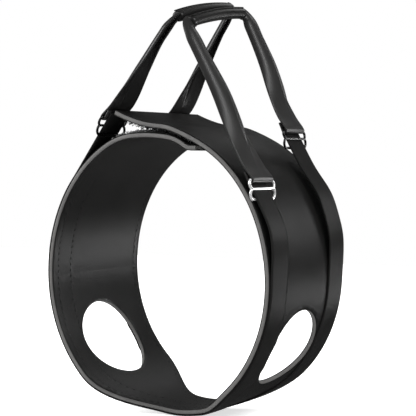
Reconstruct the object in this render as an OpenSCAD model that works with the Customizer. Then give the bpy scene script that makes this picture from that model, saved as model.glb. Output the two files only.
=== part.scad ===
// Rear lift harness for a dog: a padded band that closes over the hips, two leg
// holes, and two strap loops whose padded grips are held together above it.
// The origin is the centre of the hip opening. +X is to the right seen from the
// front, +Y is to the rear and +Z is up.

/* [Band] */
// Half the width of the band, to its outer face
band_half_w = 110; // [100:1:118]
// Height of the band's crown above the centre of the hip opening
band_up = 125; // [118:1:132]
// Drop of the band's lowest point below the centre of the hip opening
band_down = 120; // [112:1:126]
// Depth of the band from its front edge to its rear edge
band_depth = 130; // [126:1:136]
// Thickness of the knitted outer cover
cover_t = 0.7; // [0.5:0.1:0.9]
// Thickness of the foam between the cover and the lining
foam_t = 3.1; // [2.6:0.1:3.4]
// Thickness of the lining
lining_t = 0.7; // [0.5:0.1:0.9]

/* [Gusset and leg holes] */
// Width of the narrow gusset between the legs, measured front to rear
gusset_w = 58; // [56:1:66]
// Distance from the centre line to where the gusset starts to widen
gusset_reach = 14; // [8:1:20]
// Distance from the centre line to where the band has its full depth
gusset_spread = 74; // [66:1:80]
// Size of a leg hole along the band
hole_tall = 74; // [60:1:76]
// Size of a leg hole across the band
hole_wide = 79; // [66:1:80]
// Angle by which a leg hole leans, its lower end towards the front
hole_lean = 18; // [0:1:30]
// Place of the left hole's centre, as an angle below the left side
left_hole_drop = 33.5; // [31:0.5:36]
// Place of the right hole's centre, as an angle below the right side
right_hole_drop = 31; // [30:0.5:36]

/* [Flaps] */
// Place of the right shoulder where the outer flap starts, as a ring angle
outer_root = 49; // [46:1:52]
// Place of the left shoulder where the inner flap starts, as a ring angle
inner_root = 131; // [128:1:133]
// Thickness of the hook patch and of the loop patch
patch_t = 0.8; // [0.5:0.1:1.0]
// Margin of a patch inside the front and rear edges of its flap
patch_margin = 6; // [4:1:12]

/* [Webbing and straps] */
// Width of the webbing sewn to the band
webbing_w = 26; // [20:1:27]
// Thickness of all the webbing
webbing_t = 1.5; // [1.2:0.1:1.6]
// Width of an upper strap where it holds its adjuster
strap_w = 33; // [28:1:33]
// Width of an upper strap where it is folded to enter the grip
strap_top_w = 13; // [10:1:16]
// Distance from the centre line to the middle of each strap
strap_y = 49; // [48:1:50]
// Ring angle at which the left straps leave the band
left_leave = 39.5; // [38:0.5:41]
// Ring angle at which the right straps leave the band
right_leave = 31.5; // [30:0.5:33]

/* [Adjusters] */
// Radius of the adjuster wire
wire_r = 1.1; // [0.9:0.05:1.1]
// Spacing of the adjuster bars along the strap
bar_pitch = 7.2; // [6.8:0.1:8]
// Place of both left adjusters along their straps
left_adjuster_at = 57; // [52:1:62]
// Place of the right front adjuster along its strap
right_front_adjuster_at = 8; // [7:1:12]
// Place of the right rear adjuster along its strap
right_rear_adjuster_at = 55; // [50:1:60]

/* [Grips] */
// Radius of a grip over its padding
grip_r = 6.4; // [5.5:0.1:6.5]
// Radius of the webbing bundle inside a grip
core_r = 3.4; // [3:0.1:3.8]
// Rise of a grip's middle above the line between its ends
grip_rise = 3; // [2:0.5:8]
// Rise of a grip's rear end above its front end
grip_lift = 17; // [0:1:18]

/* [Hidden] */

black = [0.14, 0.14, 0.14];
dark = [0.2, 0.2, 0.2];
foam_grey = [0.42, 0.42, 0.41];
wall_t = cover_t + foam_t + lining_t;
half_depth = band_depth / 2;
ring_step = 4;      // degrees between the points of the ring
arc_step = 3;       // degrees between the points of a flap's arcs
seam_gap = 0.8;     // degrees of room at the root of each flap
tip_gap = 1;        // room at the fold line of the flap tip, for pressing it down
big = 400;

// ---- The band's outline, in the XZ plane ------------------------------------

function rise_at(a) = sin(a) >= 0 ? band_up : band_down;

// A point of the ring at angle a, moved outwards by off along the normal
function ring_at(a, off = 0) =
    let (n = [rise_at(a) * cos(a), band_half_w * sin(a)])
    [band_half_w * cos(a), rise_at(a) * sin(a)] + off * n / norm(n);

// Direction of travel along the ring at angle a, for growing angles
function ring_heading(a) = atan2(rise_at(a) * cos(a), -band_half_w * sin(a));

function ring_path(a0, a1) =
    let (n = ceil(abs(a1 - a0) / ring_step))
    [for (i = [0:n]) ring_at(a0 + (a1 - a0) * i / n)];

// One arc from point p with heading h: a positive sweep turns left
function arc_points(p, h, r, sweep) =
    let (s = sweep > 0 ? r : -r, n = max(2, ceil(abs(sweep) / arc_step)))
    [for (i = [1:n]) let (g = h + sweep * i / n) p + s * [sin(g) - sin(h), cos(h) - cos(g)]];

// A chain of arcs [radius, sweep], each starting where the last one ends
function arc_chain(p, h, arcs, k = 0) =
    k == len(arcs) ? []
    : let (pts = arc_points(p, h, arcs[k][0], arcs[k][1]))
      concat(pts, arc_chain(pts[len(pts) - 1], h + arcs[k][1], arcs, k + 1));

// Unit normal on the right-hand side of travel at point i of a path
function right_normal(path, i) =
    let (d = path[min(i + 1, len(path) - 1)] - path[max(i - 1, 0)])
    [d[1], -d[0]] / norm(d);

function shifted(path, off) =
    [for (i = [0:len(path) - 1]) path[i] + off * right_normal(path, i)];

function backwards(list) = [for (i = [len(list) - 1:-1:0]) list[i]];

function smooth(u) = let (v = max(0, min(1, u))) v * v * (3 - 2 * v);

function part_of(list, i0, i1) = [for (i = [i0:i1]) list[i]];

// A layer between two offsets of a path's points i0 to i1, from y0 to y1
module ribbon(path, lo, hi, y0 = -half_depth, y1 = half_depth, i0 = 0, i1 = -1) {
    last = i1 < 0 ? len(path) - 1 : i1;
    translate([0, y1, 0]) rotate([90, 0, 0]) linear_extrude(y1 - y0)
        polygon(concat(part_of(shifted(path, hi), i0, last),
            backwards(part_of(shifted(path, lo), i0, last))));
}

// A patch stays clear of the front and rear edges of its flap
module patch(path, lo, hi, i0, i1)
    ribbon(path, lo, hi, -half_depth + patch_margin, half_depth - patch_margin, i0, i1);

// ---- The plan of the lower half: gusset, webbing and leg holes --------------

function edge_at(x) = gusset_w / 2 + (half_depth - gusset_w / 2)
    * smooth((abs(x) - gusset_reach) / (gusset_spread - gusset_reach));

plan_x = [for (x = [-band_half_w - 10:6:band_half_w + 10]) x];

// What is cut away in front of and behind the gusset
module gusset_cut()
    for (s = [-1, 1])
        translate([0, 0, -big]) linear_extrude(big)
            polygon(concat([for (x = plan_x) [x, s * edge_at(x)]],
                [[band_half_w + 10, s * big], [-band_half_w - 10, s * big]]));

// The strip of plan that one sewn webbing covers, s = -1 at the front
function webbing_mid(x) = edge_at(x) - half_depth + strap_y + 2;

module webbing_strip(s)
    translate([0, 0, -big]) linear_extrude(2 * big)
        polygon(concat([for (x = plan_x) [x, s * (webbing_mid(x) - webbing_w / 2)]],
            [for (x = backwards(plan_x)) [x, s * (webbing_mid(x) + webbing_w / 2)]]));

// One leg hole, on the side s = -1 left or s = 1 right
module leg_hole(s, drop) {
    a = s > 0 ? -drop : 180 + drop;
    p = ring_at(a);
    outline = [for (q = [0:7.5:359]) let (u = hole_tall / 2 * cos(q), v = hole_wide / 2 * sin(q))
        [s * (u * cos(hole_lean) + v * sin(hole_lean)), v * cos(hole_lean) - u * sin(hole_lean)]];
    translate([p[0], 0, p[1]]) rotate([0, 180 - ring_heading(a), 0])
        linear_extrude(60, center = true) polygon(outline);
}

module leg_holes() {
    leg_hole(-1, left_hole_drop);
    leg_hole(1, right_hole_drop);
}

// ---- Band ---------------------------------------------------------------------

band_path = ring_path(inner_root, 360 + outer_root);

module band_layer(lo, hi)
    difference() {
        ribbon(band_path, lo, hi);
        gusset_cut();
        leg_holes();
    }

module band_outer_cover() color(black) band_layer(-cover_t, 0);

module band_foam_core() color(foam_grey) band_layer(-cover_t - foam_t, -cover_t);

module band_lining() color(dark) band_layer(-wall_t, -cover_t - foam_t);

// ---- Webbing sewn round the band, lifted a little before it leaves it ----------

right_line_off = 3.6;                   // the right free webbing stands off the band
left_line_off = webbing_t / 2 + 0.05;   // the left free webbing starts on the band
right_free_from = -22;                  // where the right free webbing starts
right_sewn_end = 19;                    // ring angle at which the right webbing is free
lift_span = 20;                         // degrees over which it lifts off the band
lift_h = 5.2;
sewn_gap = 0.1;                         // keeps the flat facets of two curves apart
fold_room = 3;                          // degrees left free where the left straps fold over

function lift_at(a) = lift_h * smooth((a - 360 - right_sewn_end + lift_span) / lift_span);

sewn_path = [for (a = [180 - left_leave + fold_room:ring_step:360 + right_sewn_end])
    ring_at(a, webbing_t / 2 + sewn_gap + lift_at(a))];

module webbing_sewn(s)
    difference() {
        intersection() {
            ribbon(sewn_path, -webbing_t / 2, webbing_t / 2);
            webbing_strip(s);
        }
        leg_holes();
    }

module front_webbing_sewn() color(black) webbing_sewn(-1);

module rear_webbing_sewn() color(black) webbing_sewn(1);

// ---- Outer flap with its tip, and inner flap -----------------------------------

// The outer flap leaves the ring, runs flat over the crown and then lifts
flap_leave = 64;
flap_arcs = [[190, 9.5], [55, 15]];
tip_arcs = [[110, -14], [160, -6]];
outer_start = outer_root + seam_gap;
outer_path = concat(ring_path(outer_start, flap_leave),
    arc_chain(ring_at(flap_leave), ring_heading(flap_leave), flap_arcs));
fold_point = outer_path[len(outer_path) - 1];
fold_heading = ring_heading(flap_leave) + flap_arcs[0][1] + flap_arcs[1][1];
tip_start = fold_point + tip_gap * [cos(fold_heading), sin(fold_heading)];
tip_path = concat([tip_start], arc_chain(tip_start, fold_heading, tip_arcs));
hook_from = 5;      // first path point of the outer flap's patch

module outer_flap_cover() color(black) ribbon(outer_path, -cover_t, 0);

module outer_flap_foam() color(foam_grey) ribbon(outer_path, -cover_t - foam_t, -cover_t);

module outer_flap_lining() color(dark) ribbon(outer_path, -wall_t, -cover_t - foam_t);

module outer_flap_hook_patch() color(black)
    patch(outer_path, -wall_t - patch_t, -wall_t, hook_from, len(outer_path) - 1);

module flap_tip_cover() color(black) ribbon(tip_path, -cover_t, 0);

module flap_tip_foam() color(foam_grey) ribbon(tip_path, -cover_t - foam_t, -cover_t);

module flap_tip_lining() color(dark) ribbon(tip_path, -wall_t, -cover_t - foam_t);

module flap_tip_hook_patch() color(black)
    patch(tip_path, -wall_t - patch_t, -wall_t, 0, len(tip_path) - 2);

// The inner flap dips under the outer one, and its end turns up again
dip_leave = 115;
dip_arcs = [[62, -23], [150, -14], [40, -26], [12, 33], [60, 4]];
inner_start = inner_root - seam_gap;
inner_path = backwards(concat(ring_path(inner_start, dip_leave),
    arc_chain(ring_at(dip_leave), ring_heading(dip_leave) - 180, dip_arcs)));
loop_first = 14;    // first and last path points of the loop patch
loop_last = len(inner_path) - 6;

module inner_flap_cover() color(black) ribbon(inner_path, -cover_t, 0);

module inner_flap_foam() color(foam_grey) ribbon(inner_path, -cover_t - foam_t, -cover_t);

module inner_flap_lining() color(dark) ribbon(inner_path, -wall_t, -cover_t - foam_t);

module inner_flap_loop_patch() color(black)
    patch(inner_path, 0, patch_t, loop_first, loop_last);

// ---- Free webbing, adjusters and upper straps -----------------------------------

// Puts children into a strap's own frame: Z along the strap, X away from the dog,
// and Y across the strap, whose middle is at y
module along_strap(s, y) {
    a = s > 0 ? right_leave : left_leave;
    p = ring_at(a, s > 0 ? right_line_off : left_line_off);
    translate([s * p[0], y, p[1]]) rotate([0, s * (90 - ring_heading(a)), 0])
        rotate([0, 0, s > 0 ? 0 : 180]) children();
}

tail_over = 25;     // the webbing's tail reaches this far above its adjuster

module free_webbing(s, side, from, adjuster_at) color(black)
    along_strap(s, side * (strap_y + 1))
        translate([-webbing_t / 2, -webbing_w / 2, from])
            cube([webbing_t, webbing_w, adjuster_at + tail_over - from]);

module left_front_webbing() free_webbing(-1, -1, 0, left_adjuster_at);

module left_rear_webbing() free_webbing(-1, 1, 0, left_adjuster_at);

module right_front_webbing() free_webbing(1, -1, right_free_from, right_front_adjuster_at);

module right_rear_webbing() free_webbing(1, 1, right_free_from, right_rear_adjuster_at);

slip = 0.1;                                     // room between wire and webbing
bar_out = webbing_t / 2 + wire_r + slip;        // a bar beside the webbing
top_bar_out = bar_out + webbing_t + 2 * slip;   // the bar that the upper strap wraps
bar_len = strap_w + 1;
lobe_turn = 140;                                // degrees of a circle in each side lobe
bead_r = wire_r + 0.12;                         // the weld at each end of a bar

// A wire bar across the strap, at height z and distance out
module bar(out, z) {
    translate([out, 0, z]) rotate([90, 0, 0])
        cylinder(h = bar_len, r = wire_r, center = true, $fn = 48);
    for (e = [-1, 1])
        translate([out, e * bar_len / 2, z]) sphere(bead_r, $fn = 48);
}

// The round wire lobe that joins two bars at one end, e = -1 or 1
module lobe(out0, z0, out1, z1, e) {
    r = norm([out1 - out0, z1 - z0]) / 2 / sin(lobe_turn / 2);
    lean = atan2(out1 - out0, z1 - z0);
    translate([(out0 + out1) / 2, e * (bar_len / 2 - r * cos(lobe_turn / 2)), (z0 + z1) / 2])
        rotate([0, lean, 0]) rotate([0, 90, 0]) rotate([0, 0, e * 90 - lobe_turn / 2])
            rotate_extrude(angle = lobe_turn, $fn = 48)
                translate([r, 0]) circle(wire_r, $fn = 24);
}

module adjuster(s, side, at) color("silver")
    along_strap(s, side * strap_y) translate([0, 0, at]) {
        bar(-bar_out, -bar_pitch);
        bar(bar_out, 0);
        bar(top_bar_out, bar_pitch);
        for (e = [-1, 1]) {
            lobe(-bar_out, -bar_pitch, bar_out, 0, e);
            lobe(bar_out, 0, top_bar_out, bar_pitch, e);
        }
    }

module left_front_adjuster() adjuster(-1, -1, left_adjuster_at);

module left_rear_adjuster() adjuster(-1, 1, left_adjuster_at);

module right_front_adjuster() adjuster(1, -1, right_front_adjuster_at);

module right_rear_adjuster() adjuster(1, 1, right_rear_adjuster_at);

// The upper strap lies outside the webbing's tail, doubled, and wraps the top bar
strap_in = webbing_t / 2 + slip;
strap_out = strap_in + 2 * webbing_t;
strap_mid = (strap_in + strap_out) / 2;
left_strap_end = 166;
right_strap_end = 162;
knuckle_r = 4.2;    // the folded corner between a strap and its grip

// The strap's flat length from its foot to its top, narrowing upwards
module strap_plate(foot, top)
    rotate([90, 0, 90]) linear_extrude(strap_out - strap_in)
        polygon([[-strap_w / 2, foot], [strap_w / 2, foot],
            [strap_top_w / 2, top], [-strap_top_w / 2, top]]);

// Where the middle of an upper strap ends in its side's own frame, as [out, along],
// when that end is raised straight up by lift
function strap_top(s, lift) =
    let (h = ring_heading(s > 0 ? right_leave : left_leave))
    [strap_mid - lift * cos(h), (s > 0 ? right_strap_end : left_strap_end) + lift * sin(h)];

// The strap swings on its top bar, so a raised end leans it a little outwards
module upper_strap(s, side, at) color(black) {
    reach = strap_top(s, side > 0 ? grip_lift : 0) - [top_bar_out, at + bar_pitch];
    inset = strap_mid - top_bar_out;
    top = sqrt(reach * reach - inset * inset);
    lean = atan2(reach[0], reach[1]) - atan2(inset, top);
    along_strap(s, side * strap_y) translate([top_bar_out, 0, at + bar_pitch])
        rotate([0, lean, 0]) difference() {
            union() {
                translate([strap_in - top_bar_out, 0, 0])
                    strap_plate(wire_r + webbing_t / 2, top);
                rotate([90, 0, 0])
                    cylinder(h = strap_w, r = wire_r + slip / 2 + webbing_t, center = true, $fn = 48);
            }
            rotate([90, 0, 0])
                cylinder(h = bar_len + 2, r = wire_r + slip / 2, center = true, $fn = 48);
            translate([inset, 0, top]) sphere(knuckle_r, $fn = 48);
        }
}

module left_front_strap() upper_strap(-1, -1, left_adjuster_at);

module left_rear_strap() upper_strap(-1, 1, left_adjuster_at);

module right_front_strap() upper_strap(1, -1, right_front_adjuster_at);

module right_rear_strap() upper_strap(1, 1, right_rear_adjuster_at);

// ---- Grips -------------------------------------------------------------------------

// Where the front corner of a loop is, in the XZ plane
function corner_at(s) =
    let (a = s > 0 ? right_leave : left_leave, h = ring_heading(a),
        p = ring_at(a, s > 0 ? right_line_off : left_line_off),
        q = p + (s > 0 ? right_strap_end : left_strap_end) * [cos(h), sin(h)]
            + strap_mid * [sin(h), -cos(h)])
    [s * q[0], q[1]];

grip_tilt = atan2(grip_lift, 2 * strap_y);
chord_half = strap_y / cos(grip_tilt);
arch_r = (chord_half * chord_half + grip_rise * grip_rise) / (2 * grip_rise);
arch_half = asin(chord_half / arch_r);

// A rod of outer radius r bent to the arch, over half the angle half to each side
module arch(s, r, half, bore = 0) {
    c = corner_at(s);
    translate([c[0], 0, c[1] + grip_lift / 2]) rotate([grip_tilt, 0, 0])
        translate([0, 0, grip_rise - arch_r]) rotate([0, -90, 0]) rotate([0, 0, -half])
            rotate_extrude(angle = 2 * half, $fn = 360) translate([arch_r, 0])
                difference() {
                    circle(r, $fn = 48);
                    if (bore > 0) circle(bore, $fn = 48);
                }
}

module grip_core(s) color(black) {
    c = corner_at(s);
    arch(s, core_r, arch_half);
    for (side = [-1, 1])
        translate([c[0], side * strap_y, c[1] + (side > 0 ? grip_lift : 0)])
            sphere(knuckle_r - 0.1, $fn = 48);
}

// The padding stops short of the corners
cover_half = asin((chord_half - 5) / arch_r);

module grip_cover(s) color(dark) arch(s, grip_r, cover_half, core_r);

module left_grip_core() grip_core(-1);

module right_grip_core() grip_core(1);

module left_grip_cover() grip_cover(-1);

module right_grip_cover() grip_cover(1);

band_outer_cover();
band_foam_core();
band_lining();
front_webbing_sewn();
rear_webbing_sewn();
outer_flap_cover();
outer_flap_foam();
outer_flap_lining();
outer_flap_hook_patch();
flap_tip_cover();
flap_tip_foam();
flap_tip_lining();
flap_tip_hook_patch();
inner_flap_cover();
inner_flap_foam();
inner_flap_lining();
inner_flap_loop_patch();
left_front_webbing();
left_rear_webbing();
right_front_webbing();
right_rear_webbing();
left_front_adjuster();
left_rear_adjuster();
right_front_adjuster();
right_rear_adjuster();
left_front_strap();
left_rear_strap();
right_front_strap();
right_rear_strap();
left_grip_core();
left_grip_cover();
right_grip_core();
right_grip_cover();
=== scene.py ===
"""Looks of the dog rear lift harness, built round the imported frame.

The part's own frame is used throughout: the origin is the centre of the hip opening, +X is to
the right seen from the front, +Y is to the rear and +Z is up. Lengths in this script are in
millimetres, and new_mesh turns them into Blender's metres.
"""
import math

import bpy
import numpy as np
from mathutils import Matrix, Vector
from mathutils.geometry import delaunay_2d_cdt


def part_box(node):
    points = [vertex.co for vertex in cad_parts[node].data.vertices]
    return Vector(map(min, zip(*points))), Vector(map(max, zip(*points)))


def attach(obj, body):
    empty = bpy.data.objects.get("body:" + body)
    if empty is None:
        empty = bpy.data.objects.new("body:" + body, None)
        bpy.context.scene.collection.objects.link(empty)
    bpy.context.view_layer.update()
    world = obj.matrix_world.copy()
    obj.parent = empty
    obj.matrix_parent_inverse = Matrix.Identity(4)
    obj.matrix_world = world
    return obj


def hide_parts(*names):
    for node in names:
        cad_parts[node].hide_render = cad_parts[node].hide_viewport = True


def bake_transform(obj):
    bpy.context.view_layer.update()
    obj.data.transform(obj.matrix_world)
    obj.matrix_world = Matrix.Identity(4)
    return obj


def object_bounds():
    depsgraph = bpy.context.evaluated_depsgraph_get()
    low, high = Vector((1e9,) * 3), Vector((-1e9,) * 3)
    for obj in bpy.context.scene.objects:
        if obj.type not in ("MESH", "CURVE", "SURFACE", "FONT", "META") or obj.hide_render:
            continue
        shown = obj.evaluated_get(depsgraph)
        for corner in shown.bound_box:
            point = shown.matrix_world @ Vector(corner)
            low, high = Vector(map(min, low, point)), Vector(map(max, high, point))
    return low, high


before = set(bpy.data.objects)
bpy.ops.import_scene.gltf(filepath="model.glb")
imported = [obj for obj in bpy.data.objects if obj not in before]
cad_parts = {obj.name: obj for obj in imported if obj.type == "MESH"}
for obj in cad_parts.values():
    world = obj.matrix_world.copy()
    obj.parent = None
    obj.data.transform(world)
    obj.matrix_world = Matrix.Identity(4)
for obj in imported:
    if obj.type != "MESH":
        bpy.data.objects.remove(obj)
cad_low, cad_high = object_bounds()
MM = 0.001
FRONT, REAR = -1, 1
LEFT, RIGHT = -1, 1

# ---- Driving sizes, repeated from the part's design ----

band_low, band_high = (np.array(corner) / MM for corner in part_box("band_outer_cover"))
HALF_W = band_high[0]               # half the band's width, to its outer face
DOWN = -band_low[2]                 # drop of its lowest point
HALF_DEPTH = band_high[1]           # half its depth from front to rear
OUTER_ROOT, INNER_ROOT = 49, 131    # ring angles of the two shoulders
UP = band_high[2] / math.sin(math.radians(OUTER_ROOT))
COVER_T, FOAM_T, LINING_T, PATCH_T = 0.7, 3.1, 0.7, 0.8
WALL_T = COVER_T + FOAM_T + LINING_T
GUSSET_HALF, GUSSET_REACH, GUSSET_SPREAD = 29, 14, 74
HOLE_TALL, HOLE_WIDE, HOLE_LEAN = 74, 79, 18
HOLE_ANGLE = {LEFT: 213.5, RIGHT: -31}
WEBBING_W, WEBBING_T = 26, 1.5
STRAP_W, STRAP_T, STRAP_Y = 33, 1.6, 49
LEAVE = {LEFT: 39.5, RIGHT: 31.5}           # ring angles at which the straps leave
LINE_OFF = {LEFT: 0.8, RIGHT: 3.6}
SEWN_END, LIFT_SPAN, LIFT_H = 19, 20, 5.2
STRAP_END = {LEFT: 166, RIGHT: 162}
ADJUSTER_AT = {(LEFT, FRONT): 57, (LEFT, REAR): 57, (RIGHT, FRONT): 8, (RIGHT, REAR): 55}
WIRE_R, BAR_PITCH, TOP_BAR_OUT = 1.1, 7.2, 3.65
TAIL_OVER = 14                      # the webbing's tail above an adjuster; it is 25 in the design
GRIP_R, GRIP_RISE, GRIP_LIFT = 6.4, 3, 17   # the rear end of a grip is lifted
NAME = {LEFT: "left", RIGHT: "right"}
END = {FRONT: "front", REAR: "rear"}


# ---- The band's run: one line in the XZ plane, from the inner flap's end, down the
# ---- left side, under and up the right side, to the tip of the outer flap ----

def rad(degrees):
    return np.radians(degrees)


def smooth(u):
    v = np.clip(u, 0, 1)
    return v * v * (3 - 2 * v)


def ring(a, off=0.0):
    """Points of the ring at angles a, moved outwards by off along the normal."""
    a = rad(np.asarray(a, float))
    rise = np.where(np.sin(a) >= 0, UP, DOWN)
    normal = np.stack([rise * np.cos(a), HALF_W * np.sin(a)], -1)
    normal /= np.linalg.norm(normal, axis=-1, keepdims=True)
    return np.stack([HALF_W * np.cos(a), rise * np.sin(a)], -1) + np.asarray(off)[..., None] * normal


def ring_heading(a):
    """Direction of travel along the ring, in degrees, for growing angles."""
    a = rad(np.asarray(a, float))
    rise = np.where(np.sin(a) >= 0, UP, DOWN)
    return np.degrees(np.arctan2(rise * np.cos(a), -HALF_W * np.sin(a)))


def arc(point, heading, radius, sweep):
    """Stations (x, z, heading) of one arc; a positive sweep turns left."""
    turn = heading + sweep * np.linspace(0, 1, max(3, int(radius * abs(rad(sweep)) / 0.3)))
    side = math.copysign(radius, sweep)
    x = point[0] + side * (np.sin(rad(turn)) - math.sin(rad(heading)))
    z = point[1] + side * (math.cos(rad(heading)) - np.cos(rad(turn)))
    return np.stack([x, z, turn], -1)


def chain(point, heading, arcs):
    parts = []
    for radius, sweep in arcs:
        parts.append(arc(point, heading, radius, sweep))
        point, heading = parts[-1][-1, :2], heading + sweep
    return np.concatenate(parts)


FLAP_LEAVE, DIP_LEAVE = 64, 115
outer_part = chain(ring(FLAP_LEAVE), ring_heading(FLAP_LEAVE), [(190, 9.5), (55, 15)])
fold = outer_part[-1]
tip_root = fold[:2] + np.array([math.cos(rad(fold[2])), math.sin(rad(fold[2]))])
tip_part = chain(tip_root, fold[2], [(110, -14), (160, -6)])
dip_part = chain(ring(DIP_LEAVE), ring_heading(DIP_LEAVE) - 180,
                 [(62, -23), (150, -14), (40, -26), (12, 33), (60, 4)])[::-1]
dip_part[:, 2] += 180
ring_angles = np.linspace(DIP_LEAVE, 360 + FLAP_LEAVE, 2400)
ring_part = np.column_stack([ring(ring_angles), ring_heading(ring_angles)])
run = np.concatenate([dip_part, ring_part, outer_part, tip_part])
steps = np.linalg.norm(np.diff(run[:, :2], axis=0), axis=1)
run = run[np.concatenate([[True], steps > 1e-6])]
RUN_X, RUN_Z = run[:, 0], run[:, 1]
RUN_H = np.unwrap(rad(run[:, 2]))
RUN_S = np.concatenate([[0], np.cumsum(np.linalg.norm(np.diff(run[:, :2], axis=0), axis=1))])


def run_near(point):
    """Distance along the run of the station nearest to an XZ point."""
    return RUN_S[np.argmin(np.hypot(RUN_X - point[0], RUN_Z - point[1]))]


def place(s, y, off):
    """3D points of the run at distance s, depth y and off outwards from the outer face."""
    s = np.asarray(s, float)
    h = np.interp(s, RUN_S, RUN_H)
    x = np.interp(s, RUN_S, RUN_X) + off * np.sin(h)
    z = np.interp(s, RUN_S, RUN_Z) - off * np.cos(h)
    return np.stack([x, np.broadcast_to(y, x.shape), z], -1)


def edge_at_x(x):
    spread = smooth((np.abs(x) - GUSSET_REACH) / (GUSSET_SPREAD - GUSSET_REACH))
    return GUSSET_HALF + (HALF_DEPTH - GUSSET_HALF) * spread


def edge_at(s):
    """Half the band's depth at distance s along the run: it is narrow at the gusset."""
    z = np.interp(s, RUN_S, RUN_Z)
    return np.where(z < 0, edge_at_x(np.interp(s, RUN_S, RUN_X)), HALF_DEPTH)


S_END = RUN_S[-1]
S_INNER = run_near(ring(INNER_ROOT))
S_OUTER = run_near(ring(OUTER_ROOT))
S_FOLD = run_near((fold[:2] + tip_root) / 2)
BEND = 13                               # half the length over which a flap's root bends
TIP_BEND = 5                            # the same for the flap's tip
S_SPLIT = (S_OUTER + BEND + S_FOLD - TIP_BEND) / 2


def hole_outline(side, grow=0.0, count=96):
    """A leg hole's outline in (s, y), as its straight-through cut meets the band."""
    a = HOLE_ANGLE[side]
    centre, heading = ring(a), rad(ring_heading(a))
    tangent = np.array([math.cos(heading), math.sin(heading)])
    q = np.linspace(0, 2 * np.pi, count, endpoint=False)
    u = (HOLE_TALL / 2 + grow) * np.cos(q)
    v = (HOLE_WIDE / 2 + grow) * np.sin(q)
    c, k = math.cos(rad(HOLE_LEAN)), math.sin(rad(HOLE_LEAN))
    along, y = -side * (u * c + v * k), v * c - u * k
    s0 = run_near(centre)
    near = np.abs(RUN_S - s0) < 75
    offset = np.stack([RUN_X, RUN_Z], -1)[near] - centre
    return np.stack([np.interp(along, offset @ tangent, RUN_S[near]), y], -1)


# ---- Meshes ----

def new_mesh(name, points, faces, uv=None, sharp=40):
    """A shaded mesh object from points in millimetres; uv is one pair per point."""
    mesh = bpy.data.meshes.new(name)
    mesh.from_pydata((np.asarray(points, float) * MM).tolist(), [], [list(map(int, f)) for f in faces])
    if uv is not None:
        layer = mesh.uv_layers.new(name="cloth")
        index = np.zeros(len(mesh.loops), int)
        mesh.loops.foreach_get("vertex_index", index)
        layer.data.foreach_set("uv", (np.asarray(uv, float) * MM)[index].astype(np.float32).ravel())
    mesh.validate()
    mesh.shade_smooth()
    mesh.set_sharp_from_angle(angle=math.radians(sharp))
    mesh.update()
    piece = bpy.data.objects.new(name, mesh)
    bpy.context.scene.collection.objects.link(piece)
    return piece


def finish_piece(piece, material, slot, body, *nodes):
    """Gives a piece its material, and puts it on a body; a piece given two bodies only has its transform
    baked.
    """
    piece.data.materials.clear()
    piece.data.materials.append(material)
    if isinstance(body, str):
        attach(piece, body)
    else:
        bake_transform(piece)
    if nodes:
        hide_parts(*nodes)


def inside(points, loop):
    """Even-odd test of 2D points against a closed loop."""
    x, y = points[:, 0], points[:, 1]
    hit = np.zeros(len(points), bool)
    for (x0, y0), (x1, y1) in zip(loop, np.roll(loop, -1, axis=0)):
        if y0 == y1:
            continue
        across = (y0 > y) != (y1 > y)
        hit ^= across & (x < (x1 - x0) * (y - y0) / (y1 - y0) + x0)
    return hit


def strip_outline(s0, s1, half, spacing=2.0):
    """The outline of a strip of the run in (s, y); half is its half depth at each s."""
    s = np.linspace(s0, s1, max(3, int((s1 - s0) / spacing)))
    e = half(s)
    ends = []
    for at, sign in ((s1, 1), (s0, -1)):
        reach = float(half(np.array([at]))[0])
        y = np.linspace(-reach, reach, int(2 * reach / spacing))[1:-1] * sign
        ends.append(np.stack([np.full(len(y), at), y], -1))
    return np.concatenate([np.stack([s, -e], -1), ends[0],
                           np.stack([s[::-1], e[::-1]], -1), ends[1]])


def triangulate(outline, holes, spacing, extra):
    """Points and triangles of a flat panel in (s, y), with its holes left out."""
    loops = [outline, *holes]
    low, high = outline.min(0), outline.max(0)
    rows = np.arange(low[1] + spacing * 0.6, high[1], spacing * 0.87)
    grid = []
    for i, y in enumerate(rows):
        x = np.arange(low[0] + spacing * (0.5 + 0.5 * (i % 2)), high[0], spacing)
        grid.append(np.stack([x, np.full(len(x), y)], -1))
    grid = np.concatenate(grid)
    if len(extra):
        apart = np.array([np.min(np.abs(extra[:, 1] - p[1]) + 99 * (np.abs(extra[:, 0] - p[0]) > spacing))
                          for p in grid])
        grid = np.concatenate([grid[apart > spacing * 0.45], extra])
    keep = inside(grid, outline)
    for hole in holes:
        keep &= ~inside(grid, hole)
    grid = grid[keep]
    rim = np.concatenate(loops)
    gap = np.array([np.min(np.hypot(rim[:, 0] - p[0], rim[:, 1] - p[1])) for p in grid])
    grid = grid[gap > spacing * 0.45]
    edges, at = [], 0
    for loop in loops:
        count = len(loop)
        edges += [(at + i, at + (i + 1) % count) for i in range(count)]
        at += count
    points = [Vector(p) for p in np.concatenate([rim, grid])]
    verts, _, faces, _, _, _ = delaunay_2d_cdt(points, edges, [], 2, 1e-5)
    flat = np.array([v[:] for v in verts])
    faces = np.array(faces)
    for hole in holes:
        faces = faces[~inside(flat[faces].mean(1), hole)]
    triangles = []
    for a, b, c in faces:
        area = np.cross(flat[b] - flat[a], flat[c] - flat[a])
        triangles.append((a, b, c) if area > 0 else (a, c, b))
    return flat, np.array(triangles)


def rim_edges(triangles):
    """Directed edges that only one triangle has; the plan lies on their left."""
    directed = {(a, b) for t in triangles for a, b in ((t[0], t[1]), (t[1], t[2]), (t[2], t[0]))}
    return [(a, b) for a, b in directed if (b, a) not in directed]


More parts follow.
